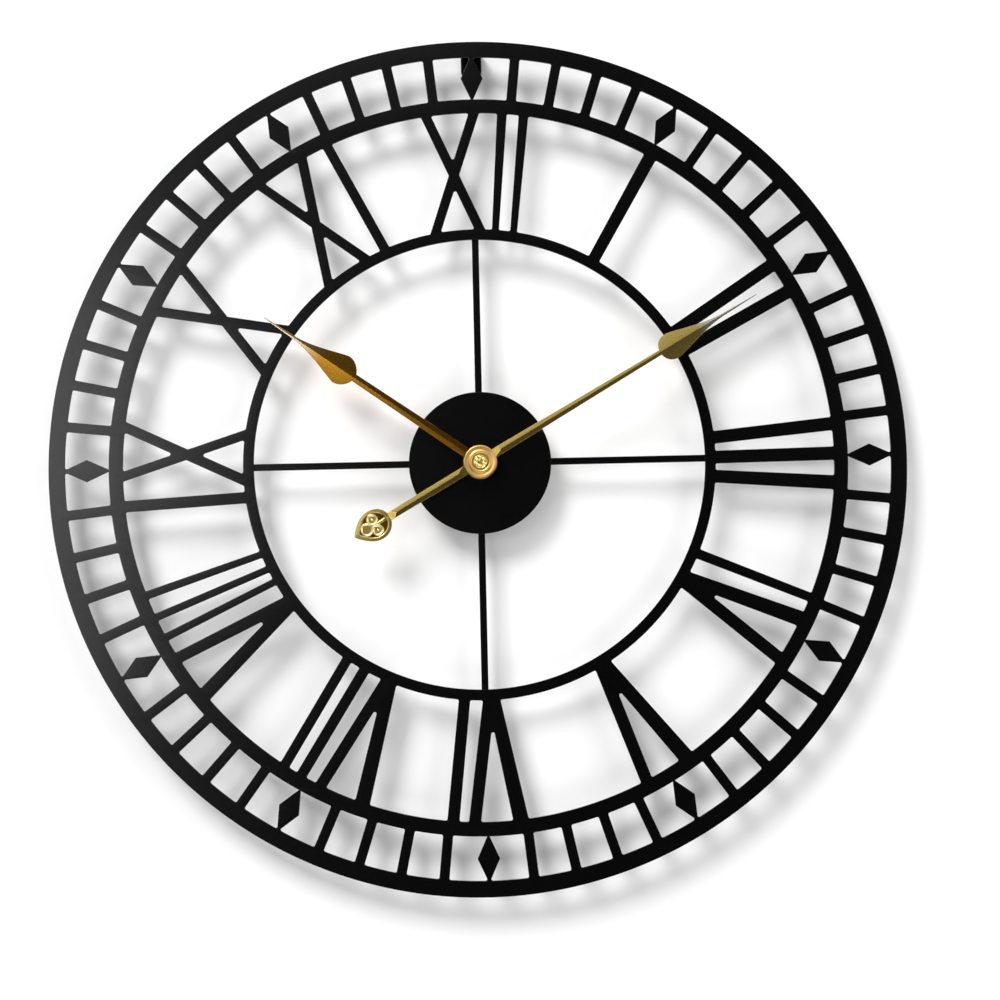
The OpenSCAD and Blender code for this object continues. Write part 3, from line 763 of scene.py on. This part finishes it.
def heart_relief(across, along, share):
    """How far the heart's front stands above its ground, from 0 to 1, at a share of its radius."""
    relief = 0.55 * smooth_step(share, 0.74, 0.80) * (1 - 0.25 * smooth_step(share, 0.82, 1.0))
    # a raised band follows the outline of three lobes that run into each other
    depth = max(r - math.hypot(across - x, along - d) for x, d, r in LOBES)
    band = smooth_step(depth, 0, 0.7 * MM) * (1 - 0.55 * smooth_step(depth, 0.9 * MM, 2.2 * MM))
    relief = max(relief, band)
    for x, d, _ in LOBES[:2]:
        # a drop in each side lobe, drawn out towards the middle
        lean = math.copysign(1, x)
        u = ((across - x) * lean + (along - d)) / 1.5
        v = ((across - x) * lean - (along - d)) / 1.1
        relief = max(relief, 0.95 * (1 - smooth_step(math.hypot(u, v), 0.3 * MM, 1.5 * MM)))
    if along < 84 * MM:
        stalk = 1 - smooth_step(abs(across), 0.5 * MM, 1.3 * MM)
        relief = max(relief, 0.7 * stalk * smooth_step(along, 75 * MM, 79 * MM))
    return relief


def heart_piece(angle, boss_back):
    """The heart on the tail, from its middle out over the relief and round to a flat back."""
    outline = heart_outline()
    centre = np.array([0, HEART_CENTRE])
    ground, crest = boss_back + HEART_GROUND, boss_back + HEART_CREST
    back = boss_back + HEART_BACK
    arm = outline - centre
    inner = outline - arm / np.hypot(*arm.T)[:, None] * HEART_EDGE_INSET
    points = [(*centre, ground)]
    for ring in range(1, HEART_RINGS + 1):
        share = ring / HEART_RINGS
        points.extend(
            (x, d, ground + (crest - ground) * heart_relief(x, d, share))
            for x, d in centre + (outline - centre) * share)
    points.extend((x, d, back + HEART_EDGE) for x, d in outline)
    points.extend((x, d, back) for x, d in inner)
    # the relief's material carries painted shade in its ground and a painted highlight on its
    # crests
    add_piece(
        "minute_heart", "minute",
        [on_hand(angle, *place) for place in points], dome(HEART_POINTS, HEART_RINGS + 2),
        relief_gold_painted_shade(boss_back + HEART_HIGHLIGHT_HEIGHT, ground), ["minute_hand"])


def rosette_relief(r, angle):
    """The front of the hand nut above its ground, in millimetres: petals round a bead."""
    petals = 0.5 + 0.5 * math.cos(PETALS * angle)
    ring = math.exp(-((r - 2.9) / 1.0) ** 2) * (0.25 + 0.75 * petals)
    bead = 1 - smooth_step(r, 0.9, 1.7)
    rim = math.exp(-((r - 4.45) / 0.35) ** 2)
    return 0.85 * max(ring, bead) + 0.35 * rim


def rosette_piece(back):
    """The nut over the hands, its back at a height in millimetres."""
    places = [(0, 0, back + ROSETTE_GROUND + rosette_relief(0, 0))]
    for r in np.linspace(0, ROSETTE_R - ROSETTE_EDGE, ROSETTE_RINGS + 1)[1:]:
        places.extend(
            (r, a, back + ROSETTE_GROUND + rosette_relief(r, a)) for a in circle(ROSETTE_POINTS))
    for h in (back + ROSETTE_RIM, back):
        places.extend((ROSETTE_R, a, h) for a in circle(ROSETTE_POINTS))
    points = [(r * MM * math.sin(a), -h * MM, r * MM * math.cos(a)) for r, a, h in places]
    add_piece(
        "hand_rosette", "minute", points, dome(ROSETTE_POINTS, ROSETTE_RINGS + 2),
        turned_gold("cap_gold", (0.92, 0.70, 0.28), (0.80, 0.56, 0.18), 0.3), ["hand_cap"])


def build_hour_hand():
    node = "hour_hand"
    angle = hand_angle(node)
    ridge = -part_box(node)[0].y
    bright, deep = (0.60, 0.29, 0.028), (0.57, 0.27, 0.025)
    # the third colour is the painted highlight on the hour needle's front
    gold = gold_leafing(
        "hour_gold", bright, deep, (0.80, 0.63, 0.38), angle, HOUR_HIGHLIGHT_SPAN, 0.21)
    outline = spade(*HOUR_OUTLINE, HOUR_PULL)
    roof_piece("hour_blade", "hour", outline, ridge, angle, gold, node)
    turned_piece("hour_collar", "hour", HOUR_COLLAR, ridge / MM - COLLAR_BELOW_RIDGE,
                 turned_gold("hour_collar_gold", bright, deep, 0.3), node)


def build_minute_hand():
    node = "minute_hand"
    angle = hand_angle(node)
    boss_back = -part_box(node)[1].y
    ridge = boss_back + MINUTE_RIDGE
    # the third colour is the painted highlight on the minute needle's front
    gold = gold_leafing("minute_gold", (0.76, 0.56, 0.16), (0.71, 0.52, 0.14),
                        (1.0, 0.95, 0.80), angle, MINUTE_HIGHLIGHT_SPAN, 0.25)
    at_boss, at_heart = (STEM_START, STEM_FACET_END), (TAIL_FACET_END, TAIL_FACET_START)
    blade = with_points_at(spade(*MINUTE_OUTLINE, MINUTE_PULL), STEM_FACET_END)
    roof_piece("minute_blade", "minute", blade, ridge, angle, gold, node, [at_boss])
    tail = np.array([
        [STEM_HALF * MM - (d - STEM_START) * TAIL_TAPER, d]
        for d in np.linspace(STEM_START, TAIL_END, 30)])
    tail = with_points_at(tail, STEM_FACET_END, TAIL_FACET_START)
    roof_piece("minute_tail", "minute", tail, ridge, angle + math.pi, gold, node,
               [at_boss, at_heart])
    heart_piece(angle + math.pi, boss_back)
    boss_gold = turned_gold("boss_gold", (0.80, 0.55, 0.20), (0.68, 0.43, 0.14), 0.42)
    turned_piece("minute_boss", "minute", BOSS, boss_back / MM, boss_gold, node)
    rosette_piece(boss_back / MM + BOSS_FRONT)


# ---------- movement ----------

def paint(nodes, material, bevel=0.0):
    """Gives CAD nodes a material, and a softer edge where one is asked for."""
    for name in nodes:
        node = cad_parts[name]
        node.data.materials.clear()
        node.data.materials.append(material)
        if bevel:
            weld = node.modifiers.new("weld", "WELD")
            weld.merge_threshold = CAD_WELD
            soft = node.modifiers.new("bevel", "BEVEL")
            soft.width = bevel
            soft.segments = 2
            soft.limit_method = "ANGLE"
            soft.angle_limit = BEVEL_ANGLE
            weigh_normals(node)


def paint_movement():
    paint(["case_front"], moulded("case_black", (0.014,) * 3, (0.022,) * 3, 0.5), 0.25 * MM)
    paint(["rear_cover"], moulded("cover_black", (0.018,) * 3, (0.026,) * 3, 0.52), 0.2 * MM)
    paint(["setting_knob"], moulded("knob_grey", (0.05,) * 3, (0.07,) * 3, 0.45), 0.08 * MM)
    paint(["rubber_gasket"], moulded("rubber", (0.012,) * 3, (0.02,) * 3, 0.75), 0.15 * MM)
    gears = ["hour_wheel", "minute_wheel", "centre_wheel", "third_wheel", "fourth_wheel",
             "fifth_wheel"]
    paint(gears, moulded("gear_white", (0.72, 0.70, 0.62), (0.82, 0.80, 0.73), 0.4))
    paint(["train_bridge", "coil_bobbin"],
          moulded("frame_white", (0.66, 0.63, 0.54), (0.76, 0.73, 0.65), 0.45))
    paint(["bridge_screws", "contact_positive", "contact_negative", "quartz_crystal"],
          bright_steel("bright_steel"))
    iron = metal("motor_iron", (0.28, 0.28, 0.30), (0.4, 0.4, 0.42), 0.4)
    paint(["stator", "coil_core"], iron)
    paint(["rotor"], metal("magnet", (0.08, 0.08, 0.09), (0.14, 0.14, 0.15), 0.5))
    paint(["coil_winding"], wound_wire())
    paint(["circuit_board"], board_laminate())
    paint(["chip_cover"], moulded("resin_black", (0.006,) * 3, (0.012,) * 3, 0.25, 0.002))
    brass = turned_gold("brass", (0.80, 0.58, 0.25), (0.66, 0.46, 0.18), 0.32)
    paint(["threaded_bush", "dial_washer", "clamp_nut"], brass, 0.1 * MM)
    paint(["cannon_pinion"], brass)


def cell_piece(name, profile, material):
    """A piece of the cell, turned about its own axis along X, from (radius, x) pairs."""
    low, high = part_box("battery")
    y, z = (low.y + high.y) / 2, (low.z + high.z) / 2
    points = [
        (x, y + r * math.cos(a), z + r * math.sin(a))
        for r, x in profile for a in circle(CELL_POINTS)]
    faces = tube(CELL_POINTS, len(profile))
    add_piece(name, "battery", points, faces, material, ["battery"])


def build_cell():
    """A steel can in a plain plastic wrap that is shrunk over the can's shoulders."""
    low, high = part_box("battery")
    r = (high.z - low.z) / 2
    start, end, button_end = low.x, high.x - BUTTON, high.x
    cell_piece("cell_wrap", [
        (r - 1.6 * MM, start + 0.2 * MM), (r - 0.6 * MM, start + 0.2 * MM),
        (r - 0.15 * MM, start + 0.4 * MM), (r, start + 0.9 * MM), (r, end - 0.9 * MM),
        (r - 0.15 * MM, end - 0.4 * MM), (r - 0.6 * MM, end - 0.1 * MM), (r - 1.6 * MM, end)],
        moulded("cell_wrap", (0.03, 0.12, 0.06), (0.05, 0.2, 0.1), 0.3))
    cell_piece("cell_can", [
        (r - 1.5 * MM, start), (r - 1.3 * MM, start + CAN_SKIN), (r - 1.3 * MM, end - CAN_SKIN),
        (3.3 * MM, end - CAN_SKIN), (3.0 * MM, end), (2.75 * MM, end + 0.1 * MM),
        (2.7 * MM, button_end - 0.3 * MM), (2.45 * MM, button_end - 0.05 * MM),
        (2.2 * MM, button_end)],
        bright_steel("cell_steel"))


# ---------- stage ----------

def direction(azimuth, elevation):
    """From the clock outwards, with azimuth 0 straight in front of it and both in degrees."""
    a, e = math.radians(azimuth), math.radians(elevation)
    return Vector((math.sin(a) * math.cos(e), -math.cos(a) * math.cos(e), math.sin(e)))


def add_wall():
    """A plain white wall that shows only from its front, so that the clock's back can be seen."""
    mesh = bpy.data.meshes.new("wall")
    corners = [(-1, -1), (1, -1), (1, 1), (-1, 1)]
    mesh.from_pydata([(x * WALL_HALF, WALL_GAP, z * WALL_HALF) for x, z in corners], [],
                     [(0, 1, 2, 3)])
    wall = add_object("wall", mesh)
    look = Look("wall_paint", (0.95, 0.95, 0.95), 0.9, Specular_IOR_Level=0.0)
    side = look.add("ShaderNodeNewGeometry")
    clear = look.add("ShaderNodeBsdfTransparent")
    mix = look.add("ShaderNodeMixShader")
    look.join(side.outputs["Backfacing"], mix.inputs[0])
    look.join(look.shader.outputs[0], mix.inputs[1])
    look.join(clear.outputs[0], mix.inputs[2])
    look.join(mix.outputs[0], look.tree.nodes["Material Output"].inputs["Surface"])
    mesh.materials.append(look.material)
    wall.visible_shadow = False


def add_softbox(name, azimuth, elevation, distance, width, height, brightness):
    """A large soft light that faces the clock."""
    out = direction(azimuth, elevation)
    data = bpy.data.lights.new(name, "AREA")
    data.shape = "RECTANGLE"
    data.size = width
    data.size_y = height
    data.energy = brightness * math.pi * width * height
    light = add_object(name, data)
    light.location = out * distance
    light.rotation_mode = "QUATERNION"
    light.rotation_quaternion = (-out).to_track_quat("-Z", "Y")


def add_world():
    """A surround that the camera sees as white, and that gives the clock only a little light."""
    world = bpy.data.worlds.new("studio")
    bpy.context.scene.world = world
    world.use_nodes = True
    tree = world.node_tree
    background = tree.nodes["Background"]
    path = tree.nodes.new("ShaderNodeLightPath")
    strength = tree.nodes.new("ShaderNodeMapRange")
    strength.inputs["To Min"].default_value = WORLD_LIGHT
    strength.inputs["To Max"].default_value = 1.0
    tree.links.new(path.outputs["Is Camera Ray"], strength.inputs["Value"])
    background.inputs["Color"].default_value = (1, 1, 1, 1)
    tree.links.new(strength.outputs["Result"], background.inputs["Strength"])


def add_camera():
    middle = Vector((0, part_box("dial_plate")[0].y, 0))
    data = bpy.data.cameras.new("camera")
    data.sensor_width = CAMERA_SENSOR
    data.lens = CAMERA_LENS
    camera = add_object("camera", data)
    camera.location = middle + direction(CAMERA_AZIMUTH, CAMERA_ELEVATION) * CAMERA_DISTANCE
    aim = middle + Vector((AIM_RIGHT, 0, -AIM_BELOW))
    look = (aim - camera.location).to_track_quat("-Z", "Y")
    camera.rotation_mode = "QUATERNION"
    camera.rotation_quaternion = look @ Quaternion((0, 0, 1), -math.radians(CAMERA_ROLL))
    bpy.context.scene.camera = camera


# ---------- the clock ----------

add_camera()
for name, numbers in SOFTBOXES.items():
    add_softbox(name, *numbers)
add_world()
add_wall()
black = powder_coat()
for node in ["dial_plate", "hub_plate", "spoke_12", "spoke_3", "spoke_6", "spoke_9"]:
    sheet_piece(node, black)
paint(["hanger_bracket"], black, 0.2 * MM)
build_hour_hand()
build_minute_hand()
paint_movement()
build_cell()
bpy.context.scene.view_settings.view_transform = "Standard"
